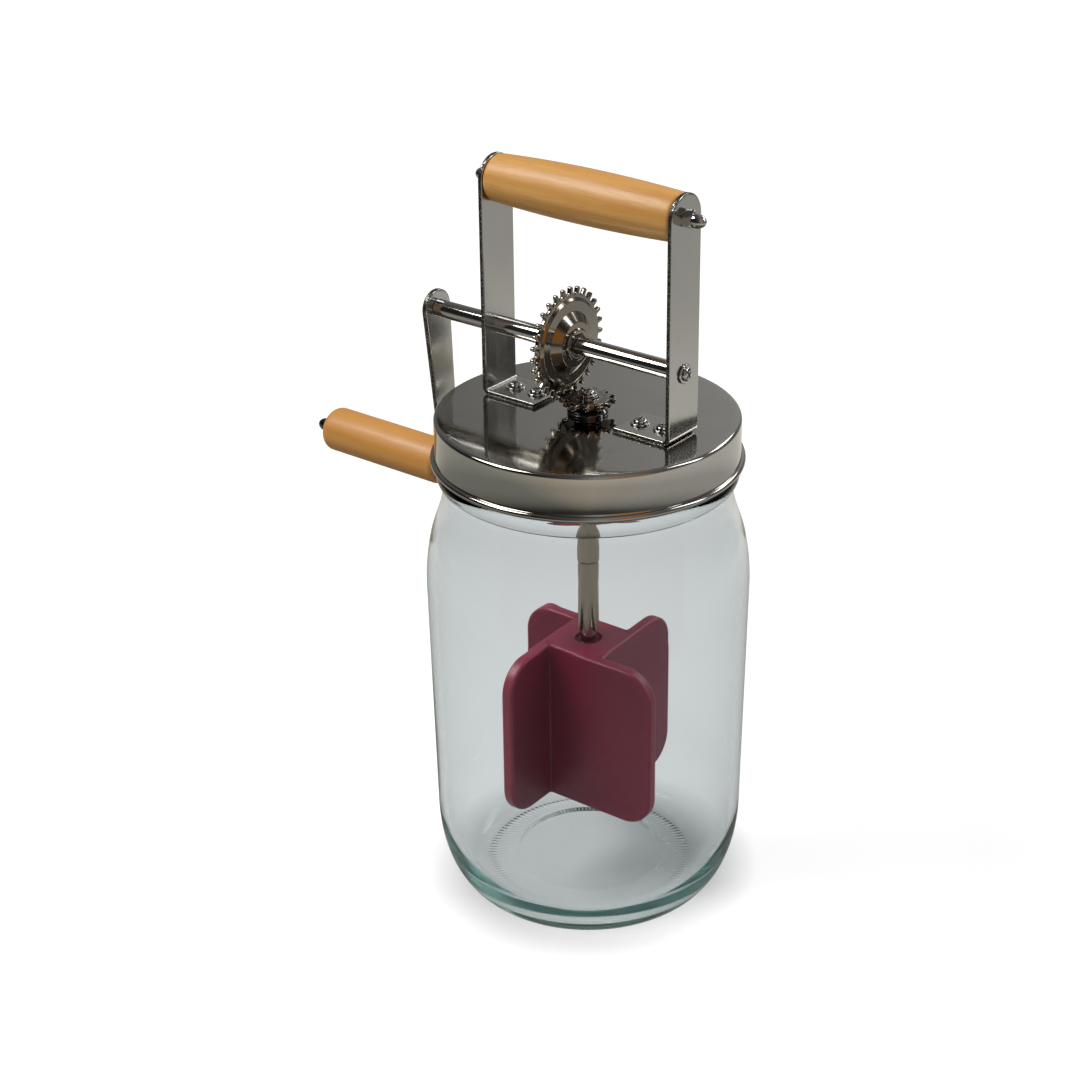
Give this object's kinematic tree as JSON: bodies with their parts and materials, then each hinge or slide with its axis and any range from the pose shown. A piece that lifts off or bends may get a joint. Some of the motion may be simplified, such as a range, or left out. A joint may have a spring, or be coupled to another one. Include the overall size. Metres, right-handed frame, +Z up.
{
  "type": "hand cranked jar mixer",
  "caption": "Hand-cranked mixer on a wide-mouth glass jar: screw lid, crank and gear pair, spindle with a soft bladed paddle, wooden grips.",
  "frame": {"origin": "on the jar axis, in the plane of the ring that the jar rests on", "axes": "+Z up along the jar and the spindle; the crank shaft runs along X and the crank arm is at the -X end; +Y is the back"},
  "size_m": [0.1801, 0.1078, 0.2545],
  "materials": {
    "glass": "clear, slightly green in the thick parts",
    "seal": "soft white liner compound",
    "lid_steel": "bright nickel plate, nearly mirror smooth",
    "bracket_steel": "bright nickel plate with a faint drawn grain",
    "shaft_steel": "polished round bar",
    "fastener_steel": "bright plated screws, nuts and washers",
    "gear_steel": "pressed and plated sheet",
    "sleeve_steel": "dull plated tube",
    "wood": "pale straight grained wood under clear varnish",
    "silicone": "satin dark red silicone"
  },
  "bodies": {
    "jar": {"jar": "glass"},
    "seal": {"seal_ring": "seal"},
    "head": {"lid_shell": "lid_steel", "left_upright": "bracket_steel", "right_upright": "bracket_steel", "foot_screws": "fastener_steel", "foot_washers": "fastener_steel", "foot_nuts": "fastener_steel", "handle_grip": "wood", "handle_rod": "shaft_steel", "handle_cap_nuts": "fastener_steel", "bearing_sleeve": "sleeve_steel", "sleeve_nut": "fastener_steel"},
    "crank": {"crank_shaft": "shaft_steel", "crank_arm": "bracket_steel", "drive_gear": "gear_steel", "gear_collar": "gear_steel", "collar_set_screw": "fastener_steel", "shaft_end_screw": "fastener_steel", "shaft_end_washer": "fastener_steel", "grip_pin": "shaft_steel", "grip_washer": "fastener_steel", "grip_cap_nut": "fastener_steel"},
    "crank_grip": {"crank_grip": "wood"},
    "spindle": {"spindle": "shaft_steel", "pinion": "gear_steel", "pinion_spacer": "gear_steel", "pinion_washer": "fastener_steel", "pinion_screw": "fastener_steel", "drive_ferrule": "sleeve_steel", "paddle": "silicone"}
  },
  "joints": [
    {"name": "lid_rise", "type": "slide", "parent": "jar", "child": "seal", "axis": [0, 0, 1], "range_m": [0, 0.00112]},
    {"name": "lid_turn", "type": "hinge", "parent": "seal", "child": "head", "pos_m": [0, 0, 0.173], "axis": [0, 0, 1], "range_deg": [0, 40]},
    {"name": "crank_spin", "type": "hinge", "parent": "head", "child": "crank", "pos_m": [0, 0, 0.1954], "axis": [1, 0, 0], "continuous": true},
    {"name": "grip_spin", "type": "hinge", "parent": "crank", "child": "crank_grip", "pos_m": [-0.09, 0.00471, 0.13559], "axis": [1, 0, 0], "continuous": true},
    {"name": "spindle_spin", "type": "hinge", "parent": "head", "child": "spindle", "pos_m": [0, 0, 0.173], "axis": [0, 0, 1], "continuous": true}
  ],
  "couplings": [
    {"joint": "lid_rise", "follows": "lid_turn", "m_per_rad": 0.0015915},
    {"joint": "spindle_spin", "follows": "crank_spin", "ratio": -2.2308}
  ]
}
